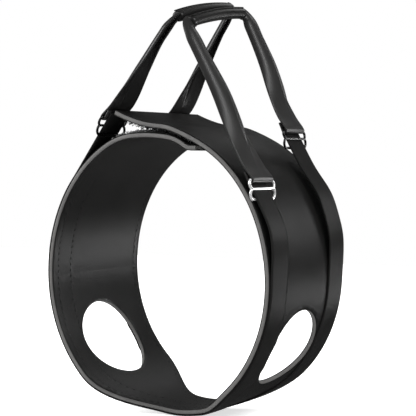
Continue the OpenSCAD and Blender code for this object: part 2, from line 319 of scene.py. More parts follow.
def slab(name, plan, low, high, bulge, flush=(), dent=None, rings=5):
    """A closed layer between two offsets, with a rounded rim; flush lists the s of flat ends."""
    flat, triangles = plan
    count = len(flat)
    edges = rim_edges(triangles)
    outward = np.zeros((count, 2))
    for a, b in edges:
        d = flat[b] - flat[a]
        for i in (a, b):
            outward[i] += np.array([d[1], -d[0]]) / (np.linalg.norm(d) + 1e-9)
    size = np.linalg.norm(outward, axis=1, keepdims=True)
    outward = np.divide(outward, size, out=outward, where=size > 0)
    soft = np.ones(count)
    for at in flush:
        soft *= np.clip(np.abs(flat[:, 0] - at) / 1.0, 0, 1)
    sink = dent(flat) if dent else np.zeros(count)
    upper = place(flat[:, 0], flat[:, 1], high + np.where(sink > 0, 0, sink))
    lower = place(flat[:, 0], flat[:, 1], low + np.where(sink > 0, sink, 0))
    points, uv = [upper, lower], [flat, flat]
    faces = [tuple(t) for t in triangles] + [(a + count, c + count, b + count) for a, b, c in triangles]
    rim = sorted({i for e in edges for i in e})
    order = {v: i for i, v in enumerate(rim)}
    rim = np.array(rim)
    for k in range(1, rings):
        share = k / rings
        push = bulge * math.sin(math.pi * share) * soft[rim]
        at = flat[rim] + outward[rim] * push[:, None]
        points.append(place(at[:, 0], at[:, 1], high + (low - high) * share))
        uv.append(flat[rim] + outward[rim] * (high - low) * share)

    def level(v, k):
        if k == 0:
            return v
        return v + count if k == rings else 2 * count + (k - 1) * len(rim) + order[v]

    for a, b in edges:
        for k in range(rings):
            faces.append((level(b, k), level(a, k), level(a, k + 1), level(b, k + 1)))
    return new_mesh(name, np.concatenate(points), faces, np.concatenate(uv), sharp=50)


def tube_quads(rows, size, first=0):
    """Side faces of a tube: rows rings of size points each, counted from point first."""
    quads = []
    for k in range(rows - 1):
        low = first + k * size
        high = low + size
        for j in range(size):
            n = (j + 1) % size
            quads.append((low + j, low + n, high + n, high + j))
    return quads


def tube_faces(rows, size, first):
    """A tube's side faces and its two flat ends."""
    last = first + (rows - 1) * size
    return [*tube_quads(rows, size, first), tuple(range(first, first + size))[::-1],
            tuple(range(last, last + size))]


def sweep(name, centres, across, normals, sections, sharp=40):
    """A closed strip: at each station a section of (u, v) pairs is set out from the centre."""
    stations, size = len(centres), sections.shape[1]
    points = (centres[:, None] + sections[..., :1] * across[:, None]
              + sections[..., 1:] * normals[:, None]).reshape(-1, 3)
    length = np.concatenate([[0], np.cumsum(np.linalg.norm(np.diff(centres, axis=0), axis=1))])
    girth = np.concatenate([np.zeros((stations, 1)),
                            np.cumsum(np.linalg.norm(np.diff(sections, axis=1), axis=2), axis=1)], 1)
    uv = np.stack([np.repeat(length, size), girth.ravel()], -1)
    faces = tube_quads(stations, size)
    for i, flip in ((0, 1), (stations - 1, -1)):
        middle = len(points)
        points = np.concatenate([points, [points[i * size:(i + 1) * size].mean(0)]])
        uv = np.concatenate([uv, [uv[i * size]]])
        for j in range(size):
            k = (j + 1) % size
            faces.append((middle, i * size + k, i * size + j)[::flip])
    return new_mesh(name, points, faces, uv, sharp)


def along_path(points, spacing):
    """A polyline resampled at an even spacing, with its unit tangents."""
    gaps = np.linalg.norm(np.diff(points, axis=0), axis=1)
    points = points[np.concatenate([[True], gaps > 1e-6])]
    length = np.concatenate([[0], np.cumsum(np.linalg.norm(np.diff(points, axis=0), axis=1))])
    at = np.linspace(0, length[-1], max(3, int(length[-1] / spacing) + 1))
    centres = np.stack([np.interp(at, length, points[:, i]) for i in range(3)], -1)
    tangents = np.gradient(centres, axis=0)
    return at, centres, tangents / np.linalg.norm(tangents, axis=1, keepdims=True)


def sheet_section(middle, thickness, rounding=3):
    """A closed section round an open middle line of (u, v) points, with rounded ends."""
    d = np.gradient(middle, axis=0)
    d /= np.linalg.norm(d, axis=1, keepdims=True)
    normal = np.stack([-d[:, 1], d[:, 0]], -1)
    top, bottom = middle + normal * thickness / 2, middle - normal * thickness / 2
    caps = []
    for end, sign in ((-1, 1), (0, -1)):
        turn = np.linspace(90, -90, rounding + 2)[1:-1]
        c, k = np.cos(rad(turn)), np.sin(rad(turn))
        caps.append(middle[end] + thickness / 2 * (0.6 * sign * c[:, None] * d[end]
                                                   + sign * k[:, None] * normal[end]))
    return np.concatenate([top, caps[0], bottom[::-1], caps[1]])


# ---- Materials ----

class Nodes:
    """A short way to lay out one material's node tree."""

    def __init__(self, name, **settings):
        self.material = bpy.data.materials.new(name)
        self.material.use_nodes = True
        self.tree = self.material.node_tree
        self.shader = self.tree.nodes["Principled BSDF"]
        for socket, value in settings.items():
            self.shader.inputs[socket.replace("_", " ")].default_value = value

    def add(self, kind, operation=None, **inputs):
        node = self.tree.nodes.new("ShaderNode" + kind)
        if operation:
            node.operation = operation
        for socket, value in inputs.items():
            self.set(node, int(socket[1:]) if socket[0] == "i" and socket[1:].isdigit()
                     else socket.replace("_", " "), value)
        return node

    def set(self, node, socket, value):
        if isinstance(value, bpy.types.NodeSocket):
            self.tree.links.new(value, node.inputs[socket])
        else:
            node.inputs[socket].default_value = value

    def math(self, operation, a, b=0.0):
        return self.add("Math", operation, i0=a, i1=b).outputs[0]

    def noise(self, where, scale, detail=3.0):
        return self.add("TexNoise", Vector=where, Scale=scale, Detail=detail).outputs["Fac"]

    def ramp(self, value, low, high, low_at=0.3, high_at=0.7):
        node = self.add("ValToRGB", Fac=value)
        ends = node.color_ramp.elements
        ends[0].position, ends[1].position = low_at, high_at
        ends[0].color, ends[1].color = (*low, 1), (*high, 1)
        return node.outputs["Color"]

    def spread(self, value, low, high):
        node = self.add("MapRange", Value=value)
        node.inputs["To Min"].default_value, node.inputs["To Max"].default_value = low, high
        return node.outputs["Result"]

    def bump(self, height, strength, distance):
        node = self.add("Bump", Height=height, Strength=strength, Distance=distance)
        self.tree.links.new(node.outputs["Normal"], self.shader.inputs["Normal"])

    def link(self, value, socket):
        self.tree.links.new(value, self.shader.inputs[socket])


def grey(value, warm=0.0):
    return (value * (1 + warm), value, value * (1 - warm))


def woven(nodes, uv, pitch_u, pitch_v):
    """Height of a plain weave over a uv layer in metres: ribs across, broken along."""
    split = nodes.add("SeparateXYZ", Vector=uv)
    u = nodes.math("MULTIPLY", split.outputs["X"], 2 * math.pi / (pitch_u * MM))
    v = nodes.math("MULTIPLY", split.outputs["Y"], 2 * math.pi / (pitch_v * MM))
    warp = nodes.math("MULTIPLY", nodes.math("SINE", u), nodes.math("SINE", v))
    return nodes.math("ADD", nodes.math("MULTIPLY", warp, 0.5), 0.5)


def cloth_material(name, dark, light, roughness, pitch, strength, specular):
    """A dark fabric with a weave on its uv layer, faint wear and an uneven gloss."""
    nodes = Nodes(name, Specular_IOR_Level=specular)
    uv = nodes.add("UVMap")
    uv.uv_map = "cloth"
    where = nodes.add("TexCoord").outputs["Object"]
    broad = nodes.noise(where, 28.0, 4.0)
    weave = woven(nodes, uv.outputs["UV"], *pitch)
    nodes.link(nodes.ramp(broad, grey(dark, 0.015), grey(light, 0.015)), "Base Color")
    fuzz = nodes.noise(where, 900.0, 2.0)
    nodes.link(nodes.spread(fuzz, roughness - 0.05, roughness + 0.06), "Roughness")
    height = nodes.math("ADD", weave, nodes.math("MULTIPLY", fuzz, 0.6))
    nodes.bump(height, strength, 0.00012)
    return nodes.material


def foam_material():
    """The cut edge of closed-cell foam: mid grey, with fine open cells."""
    nodes = Nodes("foam_edge", Specular_IOR_Level=0.3, Roughness=0.62)
    where = nodes.add("TexCoord").outputs["Object"]
    cells = nodes.add("TexVoronoi", Vector=where, Scale=1500.0).outputs["Distance"]
    broad = nodes.noise(where, 60.0, 3.0)
    nodes.link(nodes.ramp(broad, grey(0.085, 0.02), grey(0.11, 0.02)), "Base Color")
    nodes.bump(nodes.math("ADD", cells, nodes.math("MULTIPLY", broad, 0.4)), 0.3, 0.0002)
    return nodes.material


def fuzz_material(name, low, high, roughness, noise=(700.0, 3.0), bump=(0.5, 0.0003)):
    """A speckled matt thread or pile; noise is scale and detail, bump strength and depth."""
    nodes = Nodes(name, Specular_IOR_Level=0.4, Roughness=roughness)
    speck = nodes.noise(nodes.add("TexCoord").outputs["Object"], *noise)
    nodes.link(nodes.ramp(speck, grey(low), grey(high)), "Base Color")
    nodes.bump(speck, *bump)
    return nodes.material


def metal_material(name, value, roughness, metallic=1.0):
    """Plated steel wire with faint drawing marks and smudges."""
    nodes = Nodes(name, Metallic=metallic)
    where = nodes.add("TexCoord").outputs["Object"]
    smudge = nodes.noise(where, 260.0, 4.0)
    nodes.link(nodes.ramp(smudge, grey(value * 0.88), grey(value)), "Base Color")
    nodes.link(nodes.spread(smudge, roughness * 0.7, roughness * 1.4), "Roughness")
    nodes.bump(nodes.noise(where, 1800.0, 2.0), 0.06, 0.0001)
    return nodes.material


# name, dark and light base, roughness, weave pitch in mm, bump strength, specular level
COVER = cloth_material("cover_cloth", 0.007, 0.010, 0.42, (0.7, 0.5), 0.22, 0.045)
LINING = cloth_material("lining_cloth", 0.009, 0.012, 0.40, (0.7, 0.5), 0.2, 0.24)
WEBBING = cloth_material("webbing", 0.008, 0.012, 0.42, (1.3, 2.4), 0.3, 0.03)
STRAP = cloth_material("strap_webbing", 0.014, 0.019, 0.36, (1.3, 2.4), 0.07, 0.25)
PADDING = cloth_material("grip_padding", 0.009, 0.013, 0.34, (0.6, 0.45), 0.08, 0.2)
FOAM = foam_material()
THREAD = fuzz_material("thread", 0.021, 0.036, 0.5, (2500.0, 2.0), (0.4, 0.0001))
HOOKS = fuzz_material("hooks", 0.003, 0.009, 0.45)
LOOPS = fuzz_material("loops", 0.09, 0.27, 0.6)
PATCH = fuzz_material("patch_backing", 0.006, 0.018, 0.6)
BRIGHT = metal_material("bright_wire", 0.85, 0.2, 0.6)
# The same plated wire with its colour darkened to near black: painted shade for the adjusters that fall
# in shadow.
SHADED_WIRE = metal_material("dark_wire", 0.05, 0.25)


# ---- Band and flaps ----

STITCH_Y = {FRONT: (-57.5, -39.5), REAR: (58.5,)}   # rows of stitches through the band
STITCH_DENT = 0.12
NO_POINTS = np.zeros((0, 2))
band_start, band_end = S_INNER + BEND, S_OUTER - BEND


def along(s):
    """A point of the run on the middle plane."""
    return place(np.array([s]), 0, 0.0)[0]


def stitch_y(s, row):
    """A row of stitches keeps its distance from the band's edge, also at the gusset."""
    return np.sign(row) * (edge_at(s) - (HALF_DEPTH - abs(row)))


def dents(flat):
    """The lining is drawn in a little along its stitches."""
    depth = np.zeros(len(flat))
    for rows in STITCH_Y.values():
        for row in rows:
            d = np.abs(flat[:, 1] - stitch_y(flat[:, 0], row))
            depth = np.maximum(depth, STITCH_DENT * np.exp(-(d / 0.9) ** 2))
    return depth


def stitch_guides(s0, s1):
    s = np.arange(s0 + 2, s1 - 1, 2.2)
    guides = []
    for rows in STITCH_Y.values():
        for row in rows:
            for shift in (-1.3, 0, 1.3):
                guides.append(np.stack([s, stitch_y(s, row) + shift], -1))
    return np.concatenate(guides)


def clear_of_holes(points, gap):
    keep = np.ones(len(points), bool)
    for side in (LEFT, RIGHT):
        keep &= ~inside(points, hole_outline(side, gap))
    return points[keep]


def layers(name, plan, nodes, body, flush, dent=None):
    """Cover, foam and lining of one panel, each standing for its own node."""
    for layer, low, high, bulge, material, slot in (
            ("cover", -COVER_T, 0, 0.3, COVER, "cover_cloth"),
            ("foam", -COVER_T - FOAM_T, -COVER_T, 0.55, FOAM, "foam_edge"),
            ("lining", -WALL_T, -COVER_T - FOAM_T, 0.3, LINING, "lining_cloth")):
        piece = slab(f"{name}_{layer}_cloth" if layer != "foam" else f"{name}_foam_sheet", plan,
                     low, high, bulge, flush, dent if layer == "lining" else None)
        finish_piece(piece, material, slot, body, nodes[layer])


def build_band():
    guides = clear_of_holes(stitch_guides(band_start, band_end), 2.0)
    plan = triangulate(strip_outline(band_start, band_end, edge_at),
                       [hole_outline(side) for side in (LEFT, RIGHT)], 3.2, guides)
    layers("band", plan, {"cover": "band_outer_cover", "foam": "band_foam_core",
                          "lining": "band_lining"}, "band", (band_start, band_end), dents)


def build_flaps():
    for name, s0, s1, a, b, joint_s, half, flush in (
            ("outer_flap", band_end, S_SPLIT, "band", "outer_flap", S_OUTER, BEND, (band_end, S_SPLIT)),
            ("flap_tip", S_SPLIT, S_END, "outer_flap", "flap_tip", S_FOLD, TIP_BEND, (S_SPLIT,)),
            ("inner_flap", 0.0, band_start, "inner_flap", "band", S_INNER, BEND, (band_start,))):
        plan = triangulate(strip_outline(s0, s1, edge_at), [], 2.6, NO_POINTS)
        layers(name, plan, {part: f"{name}_{part}" for part in ("cover", "foam", "lining")},
               (a, b, along(joint_s - half), along(joint_s + half)), flush)


# ---- Hook and loop patches ----

PATCH_MARGIN, TUFT_MARGIN = 6.0, 6.5    # distances of patches and tufts from the band's edges
PATCH_SLOT = "hook_and_loop"


def patch_plan(s0, s1):
    return triangulate(strip_outline(s0, s1, lambda s: np.full(len(s), HALF_DEPTH - PATCH_MARGIN)),
                       [], 3.0, NO_POINTS)


def tufts(name, s0, s1, off, side, shape, spacing, size, width, seed, material, body):
    """Small curled threads all over a patch: hooks open at one end, or whole loops."""
    random = np.random.default_rng(seed)
    s = np.arange(s0 + 1.5, s1 - 1.0, spacing)
    y = np.arange(-HALF_DEPTH + TUFT_MARGIN, HALF_DEPTH - TUFT_MARGIN, spacing)
    s, y = (grid.ravel() + random.uniform(-0.42, 0.42, grid.size) * spacing
            for grid in np.meshgrid(s, y))
    count, size_of = len(s), size * random.uniform(0.7, 1.25, len(s))
    turn = random.uniform(0, 2 * np.pi, count)
    points, faces = [], []
    ring_size, rows = 3, len(shape)
    angles = np.linspace(0, 2 * np.pi, ring_size, endpoint=False)
    thick = width * random.uniform(0.8, 1.3, count)
    h = np.interp(s, RUN_S, RUN_H)
    tangent = np.stack([np.cos(h), np.zeros(count), np.sin(h)], -1)
    normal = side * np.stack([np.sin(h), np.zeros(count), -np.cos(h)], -1)
    across = np.stack([np.zeros(count), np.ones(count), np.zeros(count)], -1)
    lean = tangent * np.cos(turn)[:, None] + across * np.sin(turn)[:, None]
    edge = np.cross(normal, lean)
    root = place(s, y, off)
    for k, (u, v) in enumerate(shape):
        centre = root + lean * (u * size_of)[:, None] + normal * (v * size_of)[:, None]
        before, after = shape[max(k - 1, 0)], shape[min(k + 1, rows - 1)]
        d = np.array([after[0] - before[0], after[1] - before[1]])
        d /= np.linalg.norm(d)
        out = lean * -d[1] + normal * d[0]
        for a in angles:
            points.append(centre + thick[:, None] * (out * math.cos(a) + edge * math.sin(a)))
    points = np.stack(points, 1).reshape(-1, 3)
    for i in range(count):
        faces += tube_faces(rows, ring_size, i * rows * ring_size)
    piece = new_mesh(name, points, faces, points[:, :2], sharp=80)
    finish_piece(piece, material, PATCH_SLOT, body)


# Middle lines of one hook and one loop: shares of its size along its lean, and out
HOOK_SHAPE = ((0, -0.2), (0.02, 0.55), (0.16, 0.9), (0.42, 1.0), (0.62, 0.8), (0.66, 0.55))
LOOP_SHAPE = ((-0.5, -0.2), (-0.62, 0.4), (-0.4, 0.85), (0.0, 1.0), (0.4, 0.85), (0.62, 0.4),
              (0.5, -0.2))


def build_patches():
    under = -WALL_T
    hook_start = run_near(ring(FLAP_LEAVE))
    loop_start, loop_end = S_INNER * 0.04, run_near(ring(DIP_LEAVE)) + 2
    tip_bend = (along(S_FOLD - TIP_BEND), along(S_FOLD + TIP_BEND))
    for name, s0, s1, body in (
            ("outer_flap_hook", hook_start, S_SPLIT, "outer_flap"),
            ("flap_tip_hook", S_SPLIT, S_END - 2, ("outer_flap", "flap_tip", *tip_bend))):
        base = slab(name + "_backing", patch_plan(s0, s1), under - PATCH_T, under, 0.2, (S_SPLIT,))
        finish_piece(base, PATCH, PATCH_SLOT, body, name + "_patch")
        tufts(name + "s", s0, s1, under - PATCH_T, -1, HOOK_SHAPE, 2.5, 2.0, 0.28, 11, HOOKS, body)
    base = slab("inner_flap_loop_backing", patch_plan(loop_start, loop_end), 0, PATCH_T, 0.2)
    finish_piece(base, PATCH, PATCH_SLOT, "inner_flap", "inner_flap_loop_patch")
    tufts("inner_flap_loops", loop_start, loop_end, PATCH_T, 1, LOOP_SHAPE, 2.2, 1.7, 0.22, 12,
          LOOPS, "inner_flap")


# ---- Stitches ----

STITCH_LONG, STITCH_WIDE, STITCH_PITCH = 2.9, 0.5, 5.4


def stitches(name, s, y, off):
    """Raised stitches inside the band at distances s along the run, each a small thread."""
    points, faces = [], []
    rows = np.array([-0.5, -0.42, -0.2, 0, 0.2, 0.42, 0.5])
    height = np.array([-0.2, 0.1, 0.3, 0.34, 0.3, 0.1, -0.2])
    girth = np.array([0.35, 0.8, 1, 1, 1, 0.8, 0.35]) * STITCH_WIDE / 2
    around = np.linspace(0, 2 * np.pi, 8, endpoint=False)
    slope = np.gradient(y, s) if len(s) > 1 else np.zeros(len(s))
    for at, depth, tilt in zip(s, y, slope):
        first = len(points)
        for r, h, g in zip(rows, height, girth):
            for a in around:
                wide = g * math.cos(a)
                points.append(place(np.array([at + r * STITCH_LONG - wide * tilt]),
                                    depth + wide + tilt * r * STITCH_LONG,
                                    off - (h + g * math.sin(a)))[0])
        faces += tube_faces(len(rows), len(around), first)
    piece = new_mesh(name, points, faces, np.array(points)[:, :2], sharp=80)
    finish_piece(piece, THREAD, "webbing", "band")


def build_stitches():
    for end in (FRONT, REAR):
        at, depth = [], []
        for row in STITCH_Y[end]:
            s = np.arange(run_near(ring(150)), S_OUTER - 62, STITCH_PITCH)
            y = stitch_y(s, row)
            keep = clear_of_holes(np.stack([s, y], -1), 2.5)
            at.append(keep[:, 0])
            depth.append(keep[:, 1])
        stitches(f"{END[end]}_lining_stitches", np.concatenate(at), np.concatenate(depth),
                 -WALL_T + STITCH_DENT)


# ---- Webbing: one run from the left tail, round the band, to the right tail ----

def line_start(side):
    """Base point, direction and outward normal of one side's straight straps, in XZ."""
    a = LEAVE[side]
    p, h = ring(a, LINE_OFF[side]), rad(ring_heading(a))
    direction = np.array([side * math.cos(h), math.sin(h)])
    return p * [side, 1], direction, np.array([side * math.sin(h), -math.cos(h)])


def on_line(side, t, out=0.0):
    """Points of a side's straight strap line, t along it and out away from the dog."""
    base, direction, normal = line_start(side)
    return base + np.asarray(t, float)[..., None] * direction + np.asarray(out)[..., None] * normal


RIGHT_FREE_FROM = -22                   # the right webbing is free from this far down its line
WEBBING_STEP = 0.5                      # spacing of a webbing's stations
SEWN_Y, FREE_Y = STRAP_Y + 2, STRAP_Y + 1
HINGE = {LEFT: on_line(LEFT, 0.0), RIGHT: on_line(RIGHT, float(RIGHT_FREE_FROM))}


def webbing_run(end):
    """Stations of one webbing: XZ points, and the depths of its inner and outer edges."""
    left_tail = ADJUSTER_AT[LEFT, end] + TAIL_OVER
    right_tail = ADJUSTER_AT[RIGHT, end] + TAIL_OVER
    left = on_line(LEFT, np.arange(left_tail, 0.5, -1.0))
    a = np.arange(180 - LEAVE[LEFT] + 0.5, 360 + SEWN_END, 0.5)
    lift = LIFT_H * smooth((a - 360 - SEWN_END + LIFT_SPAN) / LIFT_SPAN)
    sewn = ring(a, WEBBING_T / 2 + 0.1 + lift)
    right = on_line(RIGHT, np.arange(RIGHT_FREE_FROM + 1.0, right_tail, 1.0))
    points = np.concatenate([left, sewn, right])
    length = np.concatenate([[0], np.cumsum(np.linalg.norm(np.diff(points, axis=0), axis=1))])
    at = np.arange(0, length[-1], WEBBING_STEP)
    points = np.stack([np.interp(at, length, points[:, i]) for i in range(2)], -1)
    reach = 45                          # the run is smoothed over this many stations each way
    kernel = np.exp(-(np.arange(-reach, reach + 1) / 22.0) ** 2)
    kernel /= kernel.sum()
    padded = [np.pad(points[:, i], reach, mode="reflect", reflect_type="odd") for i in range(2)]
    points = np.stack([np.convolve(p, kernel, mode="valid") for p in padded], -1)
    if end == REAR:
        # The right rear webbing bows outwards where it leaves the band
        base, _, normal = line_start(RIGHT)
        away = np.linalg.norm(points - base, axis=1)
        points = points + 4.0 * np.exp(-(away / 15) ** 2 / 2)[:, None] * normal
    depth = np.where(points[:, 1] < 0, edge_at_x(points[:, 0]), HALF_DEPTH) - HALF_DEPTH + SEWN_Y
    sewn_to = len(left) + length_of(sewn)
    free = np.maximum(smooth((len(left) + 12 - at) / 24), smooth((at - sewn_to + 12) / 24))
    depth = depth + (FREE_Y - SEWN_Y) * free
    inner = depth - WEBBING_W / 2
    for side in (LEFT, RIGHT):
        hole = hole_outline(side)
        s0, s1 = hole[:, 0].min(), hole[:, 0].max()
        flat = np.array([run_near(p) for p in points])
        touched = (flat > s0 + 0.5) & (flat < s1 - 0.5) & (points[:, 1] < 0)
        for i in np.nonzero(touched)[0]:
            inner[i] = max(inner[i], hole_reach(hole, flat[i], end) + 0.6)
    outer = depth + WEBBING_W / 2
    return points, inner, outer


def length_of(points):
    return float(np.linalg.norm(np.diff(points, axis=0), axis=1).sum())


def hole_reach(hole, s, end):
    """How far from the middle plane a leg hole reaches towards one end, at distance s."""
    reach = [0.0]
    for (s0, y0), (s1, y1) in zip(hole, np.roll(hole, -1, axis=0)):
        if (s0 > s) != (s1 > s):
            reach.append(end * (y0 + (y1 - y0) * (s - s0) / (s1 - s0)))
    return max(reach)


def webbing_piece(name, end, keep, run, body, node):
    """A stretch of one webbing as a flat woven strip with soft edges."""
    points, inner, outer = (part[keep] for part in run)
    tangent = np.gradient(points, axis=0)
    tangent /= np.linalg.norm(tangent, axis=1, keepdims=True)
    middle = (inner + outer) / 2 * end
    centres = np.stack([points[:, 0], middle, points[:, 1]], -1)
    across = np.tile([0.0, 1.0, 0.0], (len(centres), 1))
    normals = np.stack([tangent[:, 1], np.zeros(len(centres)), -tangent[:, 0]], -1)
    sections = []
    for half in (outer - inner) / 2:
        u = np.linspace(-half, half, 15)
        crown = 0.12 * (1 - (u / half) ** 2)
        sections.append(sheet_section(np.stack([u, crown], -1), WEBBING_T))
    piece = sweep(name, centres, across, normals, np.array(sections))
    finish_piece(piece, WEBBING, "webbing", body, node)


def build_webbing():
    bend = int(7.0 / WEBBING_STEP)      # stations to each side over which a free end bends
    for end in (FRONT, REAR):
        run = webbing_run(end)
        points = run[0]
        near = {side: np.argmin(np.linalg.norm(points - HINGE[side], axis=1))
                for side in (LEFT, RIGHT)}
        index = np.arange(len(points))
        left_cut, right_cut = near[LEFT] + 2 * bend, near[RIGHT] - 2 * bend
        webbing_piece(f"{END[end]}_webbing_band", end, (index >= left_cut) & (index <= right_cut),
                      run, "band", f"{END[end]}_webbing_sewn")
        for side, keep in ((LEFT, index <= left_cut), (RIGHT, index >= right_cut)):
            ends = (points[near[side] - side * bend], points[near[side] + side * bend])
            start, stop = ((p[0], 0, p[1]) for p in ends)
            webbing_piece(f"{NAME[side]}_{END[end]}_webbing_strap", end, keep, run,
                          ("band", f"{NAME[side]}_webbing", start, stop),
                          f"{NAME[side]}_{END[end]}_webbing")


# ---- Upper straps ----

STRAP_MID = 2.35                        # middle of the straps' thickness, out from the line
GRIP_TILT = math.atan2(GRIP_LIFT, 2 * STRAP_Y)
CHORD_HALF = STRAP_Y / math.cos(GRIP_TILT)
ARCH_R = (CHORD_HALF ** 2 + GRIP_RISE ** 2) / (2 * GRIP_RISE)


def arch_point(side, y):
    """The middle of a grip at depth y, on its tilted arch."""
    x, z = on_line(side, float(STRAP_END[side]), STRAP_MID)
    v = np.asarray(y, float) / math.cos(GRIP_TILT)
    rise = GRIP_RISE - ARCH_R + np.sqrt(ARCH_R ** 2 - v ** 2)
    c, k = math.cos(GRIP_TILT), math.sin(GRIP_TILT)
    return np.stack([np.broadcast_to(x, v.shape), v * c - rise * k,
                     z + GRIP_LIFT / 2 + v * k + rise * c], -1)


def folded_middle(width, turn, crease_at, crease_share, squash, ridge, count=57):
    """The middle line of a strap folded lengthwise: it turns by turn degrees in all, and
    crease_share of that turn lies in one crease at crease_at, a share of the width, where
    the folded edge shows through as a ridge."""
    even = np.linspace(-1, 1, count)
    even = np.sign(even) * np.abs(even) ** 1.5
    u = np.where(even < 0, crease_at * (1 + even), crease_at + (1 - crease_at) * even)
    step = np.diff(u)
    crease = np.exp(-(((u[1:] + u[:-1]) / 2 - crease_at) / 0.04) ** 2) * step
    bend = (1 - crease_share) * step + crease_share * crease / crease.sum()
    heading = rad(turn) * (0.5 - np.cumsum(bend) + bend / 2)
    steps = np.stack([np.cos(heading), np.sin(heading)], -1) * (width * step)[:, None]
    line = np.concatenate([[[0, 0]], np.cumsum(steps, axis=0)])
    chord = line[-1] - line[0]
    lean = -math.atan2(chord[1], chord[0])
    c, k = math.cos(lean), math.sin(lean)
    line = line @ np.array([[c, k], [-k, c]])
    line[:, 0] -= (line[:, 0].min() + line[:, 0].max()) / 2
    line[:, 1] = (line[:, 1] - (line[:, 1].min() + line[:, 1].max()) / 2) * squash
    line[:, 1] += ridge * np.exp(-((u - crease_at) * width / 1.0) ** 2)
    return line


# Where the crease lies across a strap at its foot and at its top
CREASE = {(LEFT, FRONT): (0.5, 0.3), (LEFT, REAR): (0.5, 0.35),
          (RIGHT, FRONT): (0.5, 0.8), (RIGHT, REAR): (0.6, 0.72)}
STRAP_BULGE = {LEFT: 2.5, RIGHT: 0.5}   # the folded straps bow outwards at mid length
DOUBLED = 8                             # length of the turned-back end behind a strap


def strap_route(side, end):
    """The middle line of an upper strap, and the distance along it at which it has come
    round the adjuster's bar and lies outside."""
    bar = ADJUSTER_AT[side, end] + BAR_PITCH
    base, direction, normal = line_start(side)
    lift = GRIP_LIFT if end == REAR else 0
    top_t = STRAP_END[side] + lift * direction[1]
    slope = lift * normal[1] / (top_t - bar)
    back = [(t, 1.8 + slope * (t - bar)) for t in np.arange(bar + DOUBLED, bar + 2.5, -1.5)]
    turn = rad(np.linspace(180, 360, 15))
    wrap_r = WIRE_R + 0.1 + STRAP_T / 2
    wrap = list(zip(bar + wrap_r * np.sin(turn), TOP_BAR_OUT + wrap_r * np.cos(turn)))
    front = []
    for t in np.arange(bar + 1.5, top_t - 9, 2.0):
        share = (t - bar) / (top_t - bar)
        over_bar = 2.05 * math.exp(-((t - bar) / 9) ** 2)
        bulge = STRAP_BULGE[side] * math.sin(math.pi * share) ** 2
        front.append((t, 3.5 + over_bar + slope * (t - bar) + bulge))
    plane = np.array(back + wrap + front)
    flat = base + plane[:, :1] * direction + plane[:, 1:] * normal
    points = np.stack([flat[:, 0], np.full(len(flat), end * float(STRAP_Y)), flat[:, 1]], -1)
    top, inward = (arch_point(side, end * (STRAP_Y - d)) for d in (0.5, 9.0))
    share = np.linspace(0, 1, 16)[1:, None]
    hook = (1 - share) ** 2 * points[-1] + 2 * share * (1 - share) * top + share ** 2 * inward
    return np.concatenate([points, hook]), length_of(points[:len(back) + len(wrap)])


def strap_sections(side, end, climb):
    """The strap is flat at its foot and folds more and more towards the grip."""
    sections = []
    low_crease, high_crease = CREASE[side, end]
    for c in climb:
        rise = 0.6 * float(np.clip(c / 0.75, 0, 1)) + 0.4 * float(smooth(c / 0.75))
        width = STRAP_W - 7 * float(smooth((c - 0.1) / 0.6)) - 9 * float(smooth((c - 0.84) / 0.12))
        where = low_crease + (high_crease - low_crease) * float(smooth(c / 0.9))
        ridge = 1.2 * float(smooth((c - 0.1) / 0.25))
        middle = folded_middle(width, 2 + 230 * rise, where, 0.5 * (1 - 0.4 * rise), 0.72, ridge)
        sections.append(sheet_section(middle, STRAP_T))
    return np.array(sections)


def upper_strap(side, end):
    """A strap that comes up behind, round the adjuster's top bar, and up to the grip."""
    points, front_s = strap_route(side, end)
    s, centres, tangents = along_path(points, 1.5)
    _, _, normal = line_start(side)
    out = np.array([normal[0], 0, normal[1]])
    wrapped = np.cross(np.tile([0.0, side, 0.0], (len(s), 1)), tangents)
    normals = np.where((s < front_s + 12)[:, None], wrapped, out)
    normals -= np.sum(normals * tangents, 1, keepdims=True) * tangents
    normals /= np.linalg.norm(normals, axis=1, keepdims=True)
    across = np.cross(tangents, normals)
    climb = (s - front_s) / (s[-1] - front_s)
    piece = sweep(f"{NAME[side]}_{END[end]}_strap_webbing", centres, across, normals,
                  strap_sections(side, end, climb))
    finish_piece(piece, STRAP, "webbing", f"{NAME[side]}_handle", f"{NAME[side]}_{END[end]}_strap")


# ---- Grips ----

GRIP_HALF = STRAP_Y - 4.6               # half the padded length
GRIP_TALL = 5.5                         # half the height of a padded roll
SEAM_ANGLE = {LEFT: rad(115), RIGHT: rad(68)}   # where the welt runs round each roll
SWELL_ROOM, SWELL_FRAMES = 0.6, 20      # the simulated roll starts this much smaller all round


def grip_axes(side, y):
    """Points of a grip's middle at depths y, with its unit vectors to the right and up."""
    centres = arch_point(side, y)
    tangents = np.gradient(centres, axis=0)
    tangents /= np.linalg.norm(tangents, axis=1, keepdims=True)
    out = np.tile([1.0, 0.0, 0.0], (len(y), 1))
    return centres, out, np.cross(tangents, out)


def grip_form(side, shrink):
    """The padded sleeve of one grip: a roll along the arch with closed, narrower ends."""
    y = np.linspace(GRIP_HALF, -GRIP_HALF, 79)
    centres, out, up = grip_axes(side, y)
    near_end = np.clip((GRIP_HALF - np.abs(y)) / 4.0, 0, 1)
    share = 0.66 + 0.34 * np.sqrt(1 - (1 - near_end) ** 2)
    around = np.linspace(0, 2 * np.pi, 40, endpoint=False)
    sections = np.stack([np.outer(share, (GRIP_R - 0.1 - shrink) * np.cos(around)),
                         np.outer(share, (GRIP_TALL - shrink) * np.sin(around))], -1)
    return centres, out, up, sections


